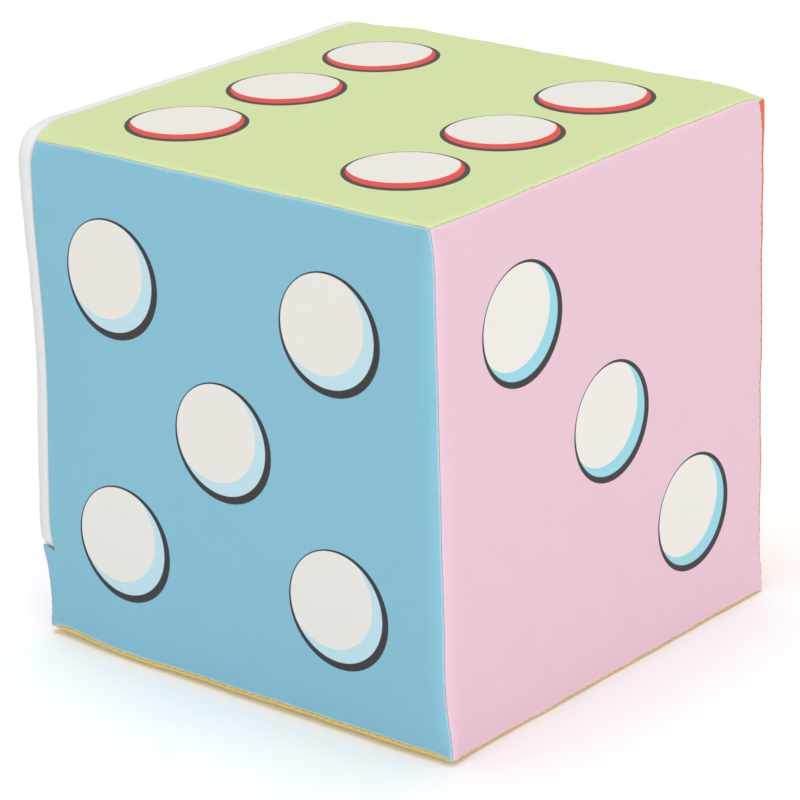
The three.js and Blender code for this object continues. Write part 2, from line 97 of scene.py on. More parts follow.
EDGE_R = 3.0
FRONT_RIGHT_R = 7.0
FRONT_RIGHT_REACH = 14.0
LOWER_RIGHT_R = 1.2
LOWER_RIGHT_REACH = 8.0
CORNER_POINT = 0.5
CORNER_REACH = 14.0
CHAIN_CORNER_R = 6.0
CLOTH_CORNER_DRAW = 1.0
ZIP_CORNER_R = CHAIN_INSET + CHAIN_CORNER_R - CLOTH_CORNER_DRAW
ZIP_CORNER_FADE = 30.0

# Cloth, hems and stitches

CLOTH_T = 0.4
CROWN = 0.5
HEM_T = 1.0
HEM_ROLL = 0.7
TOP_HEM_GAIN = 3.5
TOP_HEM_REACH = 14.0
TOP_HEM_TAPER = 16.0
CORNER_HEM_GAIN = 1.8
CORNER_HEM_REACH = 25.0
LIP_W = 0.8
LIP_DEPTH = 0.3
SHOULDER = 0.15
SHOULDER_REACH = 2.0
STITCH_PITCH = 3.5
PINCH = 0.22
PINCH_LEAST = 0.5
PINCH_SPREAD = 0.8
PINCH_REACH = 1.6

# Each face: outward normal, direction to the right, direction up
FACES = {
    "front": ((0, -1, 0), (1, 0, 0), (0, 0, 1)),
    "right": ((1, 0, 0), (0, 1, 0), (0, 0, 1)),
    "back": ((0, 1, 0), (-1, 0, 0), (0, 0, 1)),
    "left": ((-1, 0, 0), (0, -1, 0), (0, 0, 1)),
    "top": ((0, 0, 1), (1, 0, 0), (0, 1, 0)),
    "bottom": ((0, 0, -1), (1, 0, 0), (0, -1, 0)),
}

# Each seam: the face it lies on, and the panel that it joins to that face
SEAMS = {
    "seam_bottom_front": ("front", "bottom"),
    "seam_bottom_back": ("back", "bottom"),
    "seam_bottom_right": ("right", "bottom"),
    "seam_bottom_left": ("left", "bottom"),
    "seam_top_front": ("front", "top"),
    "seam_top_back": ("back", "top"),
    "seam_top_right": ("right", "top"),
    "seam_front_right": ("right", "front"),
    "seam_back_right": ("right", "back"),
    "seam_front_left": ("left", "front"),
    "seam_back_left": ("left", "back"),
}
# Seams off the cube's edge: how far the joined panel laps onto the face at the seam's low end and at its
# high end, how much further at the high tip, and the lengths over which the lap dies out at both corners
LAPS = {
    "seam_bottom_front": (2.5, 2.5, 0, 6.0, 4.0),
    "seam_bottom_right": (0.9, 0.9, 0, 4.0, 4.0),
    "seam_top_right": (-0.3, -0.3, 0, 4.0, 4.0),
    "seam_front_right": (0.9, 0.9, 0, 5.0, 5.0),
    "seam_back_right": (1.8, 2.8, 2.0, 14.0, 0.8),
}
LAP_REACH = 6.0
LAP_TIP_POWER = 40

JOG_IN = 4.0
# Soft settling of the stuffed cover: place, reach along each axis, and how far it is drawn
DRAWN = {
    "edge beside the zip's front leg": ((-HALF, -HALF, 15), (24, 6.5, 62), (2.4, 2.5, 0)),
    "edge below the zip's front end": ((-HALF, -HALF, -80), (26, 6.5, 16), (2.4, 2.5, 0)),
    "lower front left corner": ((-HALF, -HALF, -HALF), (24, 24, 14), (2.2, 2.2, 1.8)),
    "notch at the zip's front end": ((JOG_IN - HALF, -HALF, FRONT_JOG), (9, 4, 12), (0, 0, 3.0)),
    "upper front left corner": ((-HALF, -HALF, HALF), (20, 20, 14), (0, 0, 1.2)),
    "upper back left corner": ((-HALF, HALF, HALF), (22, 22, 14), (0, 0, 1.6)),
    "upper back right corner": ((HALF, HALF, HALF), (10, 10, 10), (-0.2, -0.4, -2.4)),
    "lower front right corner": ((HALF, -HALF, -HALF), (12, 12, 16), (1.5, 1.2, 0)),
    "upper front right corner": ((HALF, -HALF, HALF), (10, 10, 14), (-0.8, -0.6, 0.3)),
    "edge below the right face": ((HALF, 0, -HALF), (12, 130, 12), (0.4, 0, -0.15)),
    "edge below the front face": ((40, -HALF, -HALF), (90, 12, 12), (0, 0, 0.9)),
}
# Corners whose move spreads over the whole cube: the signs of x, y and z, and the move
CORNER_SHIFTS = {
    "upper back right": ((1, 1, 1), (-1.4, -0.6, 1.4)),
    "lower front right": ((1, -1, -1), (1.0, 0.5, 0)),
    "lower back right": ((1, 1, -1), (-0.5, -1.6, 0)),
}
# Waver of the edges: height and length of each wave
WAVES = ((0.14, 61.0), (0.07, 23.0), (0.03, 9.0))
WAVER_REACH = 7.0
WAVER_TAPER = 8.0
SEAM_PHASE = 2.4
WAVE_PHASE = 1.7
CROSSWISE_RATE = 1.3


def axes(face):
    """A face's outward normal, direction to the right and direction up."""
    return [np.array(axis, float) for axis in FACES[face]]


def facing(direction):
    """The face whose outward normal is this direction."""
    return next(name for name, (normal, _, _) in FACES.items() if np.allclose(normal, direction))


def fade(distance, reach):
    """1 at no distance, falling to 0 beyond a reach."""
    return np.exp(-(distance / reach) ** 2)


def eased(share):
    """A share held between 0 and 1, with a soft start and end."""
    share = np.clip(share, 0, 1)
    return share * share * (3 - 2 * share)


def seam_taper(along, length):
    """1 along a seam, falling to 0 where it meets a corner of the cube."""
    return 1 - fade(HALF - np.abs(along), length)


def seam_lap(seam, along):
    """How far a seam lies from the cube's edge."""
    if seam not in LAPS:
        return 0 * along
    low, high, tip, low_length, high_length = LAPS[seam]
    share = (along + HALF) / (2 * HALF)
    taper = np.where(along < 0, seam_taper(along, low_length), seam_taper(along, high_length))
    return (low + (high - low) * share + tip * share ** LAP_TIP_POWER) * taper


def border_growth(face, neighbour, along):
    """How far a panel's border lies beyond the cube's edge with a neighbouring face."""
    for seam, (onto, lapping) in SEAMS.items():
        if (onto, lapping) == (neighbour, face):
            return seam_lap(seam, along)
        if (onto, lapping) == (face, neighbour):
            return -seam_lap(seam, along)
    return 0 * along


def top_hem_share(along):
    """How much the zip's reveal narrows on the top face: 0 at its two corners, 1 between them."""
    return eased((CHAIN_LINE - np.abs(along)) / TOP_HEM_TAPER)


def corner_hem_share(along):
    """How much the zip's reveal widens towards the front top corner."""
    return fade(HALF - along, CORNER_HEM_REACH)


def on_cube(face, across, up):
    """Points of a face's plane, folded over the cube's edges where they pass them."""
    normal, right, rise = axes(face)
    over = np.maximum(np.abs(across) - HALF, 0) + np.maximum(np.abs(up) - HALF, 0)
    flat = np.clip(across, -HALF, HALF)[:, None] * right + np.clip(up, -HALF, HALF)[:, None] * rise
    return flat + (HALF - over)[:, None] * normal


def edge_radius(points):
    """The edges' radius: larger between front and right, smaller below the right face."""
    to_corner = np.linalg.norm(HALF - np.abs(points), axis=1)
    to_front_right = np.hypot(HALF - points[:, 0], HALF + points[:, 1])
    to_lower_right = np.hypot(HALF - points[:, 0], HALF + points[:, 2])
    radius = EDGE_R + (FRONT_RIGHT_R - EDGE_R) * fade(to_front_right, FRONT_RIGHT_REACH)
    radius -= (EDGE_R - LOWER_RIGHT_R) * fade(to_lower_right, LOWER_RIGHT_REACH)
    return radius * (1 - CORNER_POINT * fade(to_corner, CORNER_REACH))


def from_core(points):
    """Where points lie from the rounded cube's core: the core's point, the way out and the radius."""
    near_zip = 1 - eased((points[:, 0] - ZIP_HEM) / ZIP_CORNER_FADE)
    edge_r = edge_radius(points)
    belt_r = edge_r + (ZIP_CORNER_R - edge_r) * near_zip * (points[:, 2] > 0)
    core = HALF - np.column_stack([edge_r, belt_r, belt_r])
    inner = np.clip(points, -core, core)
    out = points - inner
    return inner, out, np.where(np.abs(out[:, 0]) > 0, edge_r, belt_r)


def rounded(points):
    """The cube's points moved to its rounded surface, and the outward normals there."""
    inner, out, radius = from_core(points)
    normals = out / np.linalg.norm(out, axis=1)[:, None]
    return inner + radius[:, None] * normals, normals


def tucked(points, gap):
    """Points drawn in, where they need it, to lie this far inside the rounded cube."""
    inner, out, radius = from_core(points)
    length = np.linalg.norm(out, axis=1)
    share = np.divide(radius - gap, length, out=np.ones_like(length), where=length > 0)
    return inner + np.minimum(share, 1)[:, None] * out


def settle(points):
    """The soft cover's departures from a true cube, the same for every piece that lies there."""
    moved = points.copy()
    for index, (onto, lapping) in enumerate(SEAMS.values()):
        first, second = axes(onto)[0], axes(lapping)[0]
        along = points @ np.cross(first, second)
        apart = np.hypot(HALF - points @ first, HALF - points @ second)
        near = fade(apart, WAVER_REACH) * seam_taper(along, WAVER_TAPER)
        for turn, (height, length) in enumerate(WAVES):
            phase = 2 * math.pi * along / length + SEAM_PHASE * index + WAVE_PHASE * turn
            moved += (height * near * np.sin(phase))[:, None] * first
            moved += (height * near * np.cos(CROSSWISE_RATE * phase))[:, None] * second
    for signs, shift in CORNER_SHIFTS.values():
        share = np.prod(np.clip((1 + signs * points / HALF) / 2, 0, 1), axis=1)
        moved += share[:, None] * np.array(shift)
    for place, reach, drawn in DRAWN.values():
        near = np.exp(-(((points - place) / reach) ** 2).sum(1))
        moved += near[:, None] * np.array(drawn)
    return moved


# Meshes

BORDER_STEP = 0.7
LEAST_STEPS = 4
BORDER_ROWS = (0, 0.2, 0.45, 0.75, 1.1, 1.6, 2.3, 3.3, 5.0, 8.0)
INNER_STEP = 3.6
GRID_NUDGE = 1e-6
JOIN_GAP = 1e-5
INSIDE_ONLY = 1


def make_piece(name, points, faces, materials, uv=None):
    """A mesh from millimetre points. uv holds one pair for each point."""
    mesh = bpy.data.meshes.new(name)
    mesh.from_pydata((np.asarray(points) * MM + (0, 0, HALF * MM)).tolist(), [], faces)
    for material in materials:
        mesh.materials.append(material)
    if uv is not None:
        layer = mesh.uv_layers.new(name="cloth")
        corners = np.empty(len(mesh.loops), np.int32)
        mesh.loops.foreach_get("vertex_index", corners)
        layer.data.foreach_set("uv", np.asarray(uv, np.float32)[corners].ravel())
    mesh.polygons.foreach_set("use_smooth", np.ones(len(mesh.polygons), bool))
    mesh.update()
    piece = bpy.data.objects.new(name, mesh)
    bpy.context.scene.collection.objects.link(piece)
    return piece


def thicken(piece, thickness, back_material=0):
    """Gives a sheet its thickness, inwards from its outer side."""
    layer = piece.modifiers.new("thickness", "SOLIDIFY")
    layer.thickness = thickness * MM
    layer.offset = -1
    layer.material_offset = back_material


def leftwards(sides):
    """Unit vectors to the left of an outline's sides."""
    return np.column_stack([-sides[:, 1], sides[:, 0]]) / np.linalg.norm(sides, axis=1)[:, None]


def inset(outline, distance):
    """A counter-clockwise outline moved inwards."""
    corners = np.array(outline, float)
    before = leftwards(corners - np.roll(corners, 1, axis=0))
    after = leftwards(np.roll(corners, -1, axis=0) - corners)
    bisector = (before + after) / (1 + (before * after).sum(1))[:, None]
    return corners + distance * bisector


def inside(points, outline):
    """Which points lie in an outline, by counting the sides to their right."""
    hits = np.zeros(len(points), int)
    for (x1, y1), (x2, y2) in zip(outline, np.roll(outline, -1, axis=0)):
        spans = (points[:, 1] < y1) != (points[:, 1] < y2)
        slope = (x2 - x1) / (y2 - y1) if y1 != y2 else 0
        hits += spans & (points[:, 0] < x1 + slope * (points[:, 1] - y1))
    return hits % 2 == 1


class Sheet:
    """A flat outline as points and faces, with each point's distance from the border and its side."""

    def __init__(self, outline):
        outline = np.array(outline, float)
        lengths = np.linalg.norm(np.roll(outline, -1, axis=0) - outline, axis=1)
        counts = [max(LEAST_STEPS, round(length / BORDER_STEP)) for length in lengths]
        rings = []
        for distance in BORDER_ROWS:
            corners = inset(outline, distance)
            ring = [
                corner + (following - corner) * (step / count)
                for corner, following, count in zip(corners, np.roll(corners, -1, axis=0), counts)
                for step in range(count)
            ]
            rings.append(np.array(ring))
        per_ring = sum(counts)
        self.side = np.tile(np.repeat(np.arange(len(counts)), counts), len(rings))
        self.border = np.repeat(BORDER_ROWS, per_ring)
        self.faces = []
        for row in range(len(rings) - 1):
            for i in range(per_ring):
                here = row * per_ring + i
                following = row * per_ring + (i + 1) % per_ring
                self.faces.append((here, following, following + per_ring, here + per_ring))
        self.points = np.concatenate(rings)
        self.fill(inset(outline, BORDER_ROWS[-1]), len(self.points) - per_ring, per_ring)

    def fill(self, hole, first, count):
        """Fills the middle with triangles on an even grid."""
        keep = inset(hole, INNER_STEP / 2)
        low, high = keep.min(0), keep.max(0)
        steps = np.maximum(((high - low) / INNER_STEP).astype(int), 1)
        lines = [np.linspace(a, b, n + 1) for a, b, n in zip(low, high, steps)]
        grid = np.stack(np.meshgrid(*lines), -1).reshape(-1, 2)
        nudge = GRID_NUDGE * (keep.mean(0) - grid)
        grid = grid[inside(grid + nudge, keep)]
        rim = self.points[first:first + count]
        corners = [Vector(point) for point in np.concatenate([rim, grid])]
        result = delaunay_2d_cdt(corners, [], [list(range(count))], INSIDE_ONLY, JOIN_GAP)
        start = [sources[0] for sources in result[3]]
        to_point = [first + s if s < count else len(self.points) + s - count for s in start]
        self.faces += [tuple(to_point[i] for i in triangle) for triangle in result[2]]
        self.points = np.concatenate([self.points, grid])
        self.side = np.concatenate([self.side, np.full(len(grid), -1)])
        self.border = np.concatenate([self.border, np.full(len(grid), INNER_STEP + BORDER_ROWS[-1])])


def swept(sections):
    """Points and faces of a ribbon from rows of points of equal length."""
    count = len(sections[0])
    points = [point for section in sections for point in section]
    faces = [
        (r * count + i, (r + 1) * count + i, (r + 1) * count + i + 1, r * count + i + 1)
        for r in range(len(sections) - 1)
        for i in range(count - 1)
    ]
    return points, faces


def tube_faces(rings, sides, first):
    """Faces of a closed tube of rings, with both ends capped."""
    faces = [
        (first + r * sides + i, first + r * sides + (i + 1) % sides,
         first + (r + 1) * sides + (i + 1) % sides, first + (r + 1) * sides + i)
        for r in range(rings - 1)
        for i in range(sides)
    ]
    last = first + (rings - 1) * sides
    faces.append(tuple(first + i for i in reversed(range(sides))))
    faces.append(tuple(last + i for i in range(sides)))
    return faces


# Panels

HASH_STEP = 12.9898
HASH_SCALE = 43758.5453


def stray(index):
    """A repeatable number from 0 to 1 for each whole number."""
    return np.mod(np.sin(index * HASH_STEP) * HASH_SCALE, 1)


def needle_pinch(along, border):
    """The small dimple at each needle hole beside a seam."""
    count = np.round(along / STITCH_PITCH)
    depth = PINCH * (PINCH_LEAST + stray(count))
    return depth * fade(along - count * STITCH_PITCH, PINCH_SPREAD) * fade(border, PINCH_REACH)


def lip(border, width, depth):
    """A quarter-round fall towards the border."""
    reach = np.clip(1 - border / width, 0, 1)
    return depth * (1 - np.sqrt(1 - reach ** 2))


def lapped(face, across, up):
    """A panel's flat points, moved where its borders lap past the cube's edges and at the zip's hem."""
    _, right, rise = axes(face)
    moved = []
    for main, along, direction in ((across, up, right), (up, across, rise)):
        shift = 0 * main
        for sign in (1, -1):
            growth = border_growth(face, facing(sign * direction), along)
            shift += sign * fade(HALF - sign * main, LAP_REACH) * growth
        moved.append(main + shift)
    near_hem = fade(across - ZIP_HEM, TOP_HEM_REACH)
    if face == "top":
        gain = TOP_HEM_GAIN * top_hem_share(up) - CORNER_HEM_GAIN * corner_hem_share(-up)
        moved[0] -= near_hem * gain
    if face == "front":
        moved[0] += near_hem * CORNER_HEM_GAIN * corner_hem_share(up)
    return moved


def border_depth(sheet, outline, hems):
    """How far a panel's points lie below its face: at rolled hems, sewn lips and needle holes."""
    across, up = sheet.points.T
    run, climb = np.abs(np.roll(outline, -1, axis=0) - np.array(outline)).T
    upright = np.isin(sheet.side, np.flatnonzero(climb > run))
    sewn = lip(sheet.border, LIP_W, LIP_DEPTH) + SHOULDER * np.exp(-sheet.border / SHOULDER_REACH)
    sewn += needle_pinch(np.where(upright, up, across), sheet.border)
    depth = np.where(np.isin(sheet.side, hems), lip(sheet.border, HEM_ROLL, HEM_T), sewn)
    return np.where(sheet.side < 0, 0, depth)


def panel(name, face, outline, hems, materials, crown):
    """A cover panel. hems are the outline's sides, by number, that are free folds and not sewn."""
    sheet = Sheet(outline)
    across, up = sheet.points.T
    surface, normals = rounded(on_cube(face, *lapped(face, across, up)))
    swell = crown * np.clip(1 - (across / HALF) ** 2, 0, 1) * np.clip(1 - (up / HALF) ** 2, 0, 1)
    rise = swell - border_depth(sheet, outline, hems)
    points = settle(surface + rise[:, None] * normals)
    uv = (sheet.points + HALF) / (2 * HALF)
    piece = make_piece(name, points, sheet.faces, materials, uv)
    thicken(piece, CLOTH_T, len(materials) - 1)
    return piece


# Zip path on the left face: across is towards the front, up is towards the top

FOLD_REACH = 6.0
LEG = CHAIN_LINE - CHAIN_CORNER_R - FOLD
ARC = CHAIN_CORNER_R * math.pi / 2
RUN = 2 * (CHAIN_LINE - CHAIN_CORNER_R)
CHAIN = 2 * LEG + 2 * ARC + RUN
CHAIN_STEP = 1.6
ARC_STEPS = 14


def chain_point(along, out):
    """A point beside the chain's middle line, counted from the fold on the front leg, as (across, up)."""
    if along > CHAIN / 2:
        across, up = chain_point(CHAIN - along, out)
        return -across, up
    if along < LEG:
        return CHAIN_LINE + out, FOLD + along
    middle = CHAIN_LINE - CHAIN_CORNER_R
    if along < LEG + ARC:
        turn = (along - LEG) / CHAIN_CORNER_R
        radius = CHAIN_CORNER_R + out
        return middle + radius * math.cos(turn), middle + radius * math.sin(turn)
    return middle - (along - LEG - ARC), CHAIN_LINE + out


def left_face(across, up, depth):
    """A point at a depth below the left face."""
    return -HALF + depth, -across, up


def chain_stations(start, end):
    """Places along the chain: leg, corner, run, corner and leg, closer together in the corners."""
    stops = [start, LEG, LEG + ARC, LEG + ARC + RUN, LEG + 2 * ARC + RUN, end]
    stations = [start]
    for stretch, (low, high) in enumerate(zip(stops, stops[1:])):
        turning = stretch % 2 == 1
        count = ARC_STEPS if turning else max(1, round((high - low) / CHAIN_STEP))
        stations += [low + (high - low) * i / count for i in range(1, count + 1)]
    return stations


# Zip tapes

TAPE_EDGE = 2.6
TAPE_FLAT_ROWS = (TAPE_EDGE, 3.4, 4.4)
TAPE_CORNER_DEPTH = 0.5
TAPE_BEND_R = 2.0
TOP_BEND_R = 1.2
TAPE_BEND_STEPS = 8
TAPE_DIP = 1.8
TAPE_LEAST_FLAT = 0.1
TAPE_PAST_HEM = 0.3
TAPE_HELD = 4.0
TOP_TAPE_RISE = 1.0
TAPE_TUCK = 4.0
TAPE_SINK = 2.4
TAPE_UV_SPAN = 100
TAPE_SURFACE = TAPE_MID - TAPE_T / 2


def body_tape_line(narrowing):
    """The tape's outer surface from the chain round the cube's edge to under the hem, as (out, depth)."""
    bend_out = CHAIN_INSET - TAPE_CORNER_DEPTH + TOP_TAPE_RISE * narrowing
    bend_r = TAPE_BEND_R + (TOP_BEND_R - TAPE_BEND_R) * narrowing
    reveal = HALF + ZIP_HEM - TOP_HEM_GAIN * narrowing
    line = [(out, TAPE_SURFACE) for out in TAPE_FLAT_ROWS]
    for i in range(TAPE_BEND_STEPS + 1):
        turn = i * math.pi / 2 / TAPE_BEND_STEPS
        line.append((
            bend_out - bend_r + bend_r * math.sin(turn),
            TAPE_SURFACE + bend_r - bend_r * math.cos(turn),
        ))
    bend_end = TAPE_SURFACE + bend_r
    flat_end = max(reveal - TAPE_DIP, bend_end + TAPE_LEAST_FLAT)
    under = CHAIN_INSET - TAPE_SURFACE
    dipped = reveal + TAPE_PAST_HEM
    line += [(bend_out, (bend_end + flat_end) / 2), (bend_out, flat_end)]
    line += [((bend_out + under) / 2, (flat_end + dipped) / 2), (under, dipped)]
    line += [(under, reveal + TAPE_HELD), (under, TAPE_UNDER_HEM)]
    return line


def body_tape(material):
    """The cube's half of the zip tape, bent round the cube's edge and tucked in at both ends."""
    start = ZIP_FRONT_END - FOLD
    end = CHAIN + FOLD - ZIP_BACK_END
    sections = []
    stations = chain_stations(start - TAPE_TUCK, end + TAPE_TUCK)
    for along in stations:
        on_top = LEG + ARC < along < CHAIN - LEG - ARC
        narrowing = float(top_hem_share(chain_point(along, 0)[0])) if on_top else 0.0
        to_end = min(along - start, end - along)
        sink = TAPE_SINK * min(max(1 - to_end / TAPE_TUCK, 0), 1)
        line = [(out - sink, depth + sink) for out, depth in body_tape_line(narrowing)]
        sections.append([left_face(*chain_point(along, out), depth) for out, depth in line])
    points, faces = swept(sections)
    steps = np.linalg.norm(np.diff(body_tape_line(0.0), axis=0), axis=1)
    walked = np.concatenate([[0], np.cumsum(steps)])
    uv = [(along / TAPE_UV_SPAN, width / TAPE_UV_SPAN) for along in stations for width in walked]
    piece = make_piece("zip_tape_on_cube", settle(np.array(points)), faces, [material], uv)
    thicken(piece, TAPE_T)
    return piece


TAPE_INNER_OUT = -TAPE_INNER - CHAIN_LINE
FLAP_TAPE_ROWS = (TAPE_INNER_OUT, -12.5, -10.0, -8.0, -6.0, -4.6, -3.4, -TAPE_EDGE)
FLAP_CORNER_R = 0.4


def flap_point(along, out):
    """A point of the flap's tape, whose inner edge turns its corners sharply, as (across, up)."""
    if along > CHAIN / 2:
        across, up = flap_point(CHAIN - along, out)
        return -across, up
    radius = max(CHAIN_CORNER_R + out, FLAP_CORNER_R)
    drawn = CHAIN_CORNER_R + out - radius
    middle = CHAIN_LINE - CHAIN_CORNER_R + drawn
    if along < 0:
        return CHAIN_LINE + out, FOLD + along
    if along < LEG:
        return CHAIN_LINE + out, FOLD + along * (LEG + drawn) / LEG
    if along < LEG + ARC:
        turn = (along - LEG) / CHAIN_CORNER_R
        return middle + radius * math.cos(turn), middle + radius * math.sin(turn)
    return middle * (CHAIN / 2 - along) / (RUN / 2), CHAIN_LINE + out


def flap_tape(material):
    """The flap's half of the zip tape, flat under the panel's hem."""
    rows = FLAP_TAPE_ROWS
    stations = chain_stations(TAPE_TAIL_FRONT - FOLD, CHAIN + FOLD - TAPE_TAIL_BACK)
    sections = [[left_face(*flap_point(along, out), TAPE_SURFACE) for out in rows] for along in stations]
    points, faces = swept(sections)
    uv = [(along / TAPE_UV_SPAN, out / TAPE_UV_SPAN) for along in stations for out in rows]
    piece = make_piece("zip_tape_on_flap", settle(np.array(points)), faces, [material], uv)
    thicken(piece, TAPE_T)
    return piece


# Zip teeth

# From the tape to the tip: out from the chain's middle line, half width, half height
TOOTH_SECTIONS = (
    (3.1, 0.8, 0.55), (2.9, 1.05, 0.82), (1.7, 1.08, 1.04), (1.1, 1.0, 1.1), (0.72, 0.62, 1.1),
    (0.35, 0.46, 1.08), (-0.15, 0.64, 1.02), (-0.46, 0.6, 0.88), (-0.6, 0.42, 0.62),
)
TOOTH_SIDES = 8
TOOTH_CORNER = 0.35
TOOTH_PITCH = 3.0
TOOTH_W = 1.4
CORD_OUT = 2.5
CORD_R = 0.55
CORD_SIDES = 8


def tooth_ring(half_width, half_height):
    """A rounded oblong round a tooth, as (along, depth) pairs."""
    cut = TOOTH_CORNER * half_width
    return [
        (half_width, -half_height + cut), (half_width, half_height - cut),
        (half_width - cut, half_height), (-half_width + cut, half_height),
        (-half_width, half_height - cut), (-half_width, -half_height + cut),
        (-half_width + cut, -half_height), (half_width - cut, -half_height),
    ]


def chain_half(name, hand, start, end, first_tooth, last_tooth, material):
    """One half of the chain: the tape's edge cord and the teeth moulded round it."""
    points = []
    stations = chain_stations(start, end)
    for along in stations:
        for i in range(CORD_SIDES):
            turn = 2 * math.pi * i / CORD_SIDES
            out = hand * (CORD_OUT + CORD_R * math.cos(turn))
            points.append(left_face(*chain_point(along, out), TAPE_MID + CORD_R * math.sin(turn)))
    faces = tube_faces(len(stations), CORD_SIDES, 0)
    stagger = 0 if hand > 0 else TOOTH_PITCH / 2
    low = math.ceil((first_tooth - stagger) / TOOTH_PITCH)
    high = math.floor((last_tooth - stagger) / TOOTH_PITCH)
    for k in range(low, high + 1):
        middle = k * TOOTH_PITCH + stagger
        faces += tube_faces(len(TOOTH_SECTIONS), TOOTH_SIDES, len(points))
        for out, half_width, half_height in TOOTH_SECTIONS:
            for along, depth in tooth_ring(half_width, half_height):
                points.append(left_face(*chain_point(middle + along, hand * out), TAPE_MID + depth))
    if hand > 0:
        faces = [face[::-1] for face in faces]
    piece = make_piece(name, settle(np.array(points)), faces, [material])
    return piece


# Stitches

THREAD_R = 0.2
STITCH_HALF = 1.45
STITCH_SINK = 0.38
STITCH_DIP = 0.3
# Seams drawn so tight that their thread lies deeper
TIGHT_SINK = {"seam_top_front": 0.7, "seam_front_right": 0.55}
# Along a stitch, from -1 to 1: place and share of the thread's radius
STITCH_RINGS = ((-1, 0.5), (-0.6, 1), (0, 1), (0.6, 1), (1, 0.5))
STITCH_SIDES = 6
FLAP_ROW_OUT = -9.0


def stitches(name, middles, ways, normals, material):
    """A row of short threads, each along its way and dipping into the cloth at both ends."""
    sides = np.cross(ways, normals)
    rings = []
    for step, size in STITCH_RINGS:
        spine = middles + step * STITCH_HALF * ways - STITCH_DIP * step ** 2 * normals
        for i in range(STITCH_SIDES):
            turn = 2 * math.pi * i / STITCH_SIDES
            rings.append(spine + size * THREAD_R * (math.cos(turn) * sides + math.sin(turn) * normals))
    points = settle(np.stack(rings, 1).reshape(-1, 3))
    faces = []
    for i in range(len(middles)):
        faces += tube_faces(len(STITCH_RINGS), STITCH_SIDES, i * len(rings))
    piece = make_piece(name, points, faces, [material])
    return piece


def seam_stitches(name, material):
    """The row of stitches along one seam."""
    onto, lapping = SEAMS[name]
    first, second = axes(onto)[0], axes(lapping)[0]
    direction = np.abs(np.cross(first, second))
    axis = int(direction.argmax())
    low = math.ceil(lowest(name, axis) / STITCH_PITCH)
    high = math.floor(highest(name, axis) / STITCH_PITCH)
    along = STITCH_PITCH * (np.arange(low, high) + 0.5)
    place = HALF * first + (HALF - seam_lap(name, along))[:, None] * second + along[:, None] * direction
    surface, normals = rounded(place)
    ways = np.broadcast_to(direction, normals.shape)
    middles = surface - TIGHT_SINK.get(name, STITCH_SINK) * normals
    piece = stitches(f"{name}_row", middles, ways, normals, material)
    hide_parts(name)
    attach(piece, "cube")


def flap_row_point(along):
    """A point on the inner side of the flap's tape, where it is sewn."""
    return np.array(left_face(*flap_point(along, FLAP_ROW_OUT), TAPE_MID + TAPE_T / 2))


def flap_tape_stitches(material):
    """The row that sews the zip's tape to the inside of the flap."""
    first = STITCH_PITCH * math.ceil(FOLD_REACH / STITCH_PITCH)
    stops = np.arange(first, CHAIN - FOLD_REACH, STITCH_PITCH)
    middles = np.array([flap_row_point(stop) for stop in stops])
    ways = np.array([flap_row_point(s + STITCH_HALF) - flap_row_point(s - STITCH_HALF) for s in stops])
    ways /= np.linalg.norm(ways, axis=1)[:, None]
    inwards = np.broadcast_to((1.0, 0.0, 0.0), middles.shape)
    piece = stitches("flap_tape_row", middles, ways, inwards, material)
    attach(piece, "flap")


# Foam block

FOAM_GAP = 1.2
FOAM_VOXEL = 2.2
FOAM_SMOOTHING = 4


def foam_block(material):
    """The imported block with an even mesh, softened edges and the cover's own settling."""
    block = frame["nodes"]["foam_core"].copy()
    block.data = block.data.copy()
    bpy.context.scene.collection.objects.link(block)
    even = block.modifiers.new("even", "REMESH")
    even.mode = "VOXEL"
    even.voxel_size = FOAM_VOXEL * MM
    soft = block.modifiers.new("soft", "SMOOTH")
    soft.iterations = FOAM_SMOOTHING
    shaped = block.evaluated_get(bpy.context.evaluated_depsgraph_get()).data
    points = np.empty(len(shaped.vertices) * 3, np.float32)
    shaped.vertices.foreach_get("co", points)
    points = points.reshape(-1, 3) / MM - (0, 0, HALF)
    faces = [tuple(polygon.vertices) for polygon in shaped.polygons]
    bpy.data.objects.remove(block)
    piece = make_piece("foam_block", settle(tucked(points, FOAM_GAP)), faces, [material])
    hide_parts("foam_core")
    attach(piece, "cube")


# Node trees

class Nodes:
    """A node tree with short ways to add nodes."""

    def __init__(self, tree):
        self.tree = tree

    def add(self, kind, inputs, output=0, **settings):
        """A new node; returns the output of this number or name."""
        made = self.tree.nodes.new(kind)
        for key, value in settings.items():
            setattr(made, key, value)
        for key, value in inputs.items():
            self.give(made.inputs[key], value)
        return made.outputs[output]

    def give(self, socket, value):
        """Links an output to a socket, or sets the socket's own value."""
        if isinstance(value, bpy.types.NodeSocket):
            self.tree.links.new(value, socket)
        else:
            socket.default_value = value

    def calc(self, operation, *values):
        return self.add("ShaderNodeMath", dict(enumerate(values)), operation=operation)

    def between(self, value, low, high, start=0.0, end=1.0):
        """A value from low to high, turned into one from start to end."""
        inputs = {"Value": value, "From Min": low, "From Max": high, "To Min": start, "To Max": end}
        return self.add("ShaderNodeMapRange", inputs)

    def background_rays(self):
        """1 for the rays that show a background: from the camera, off gloss and through glass."""
        rays = self.tree.nodes.new("ShaderNodeLightPath").outputs
        shown = rays["Is Camera Ray"]
        for kind in ("Is Glossy Ray", "Is Transmission Ray"):
            shown = self.calc("MAXIMUM", shown, rays[kind])
        return shown


NOISE_LOW = 0.3
NOISE_HIGH = 0.7


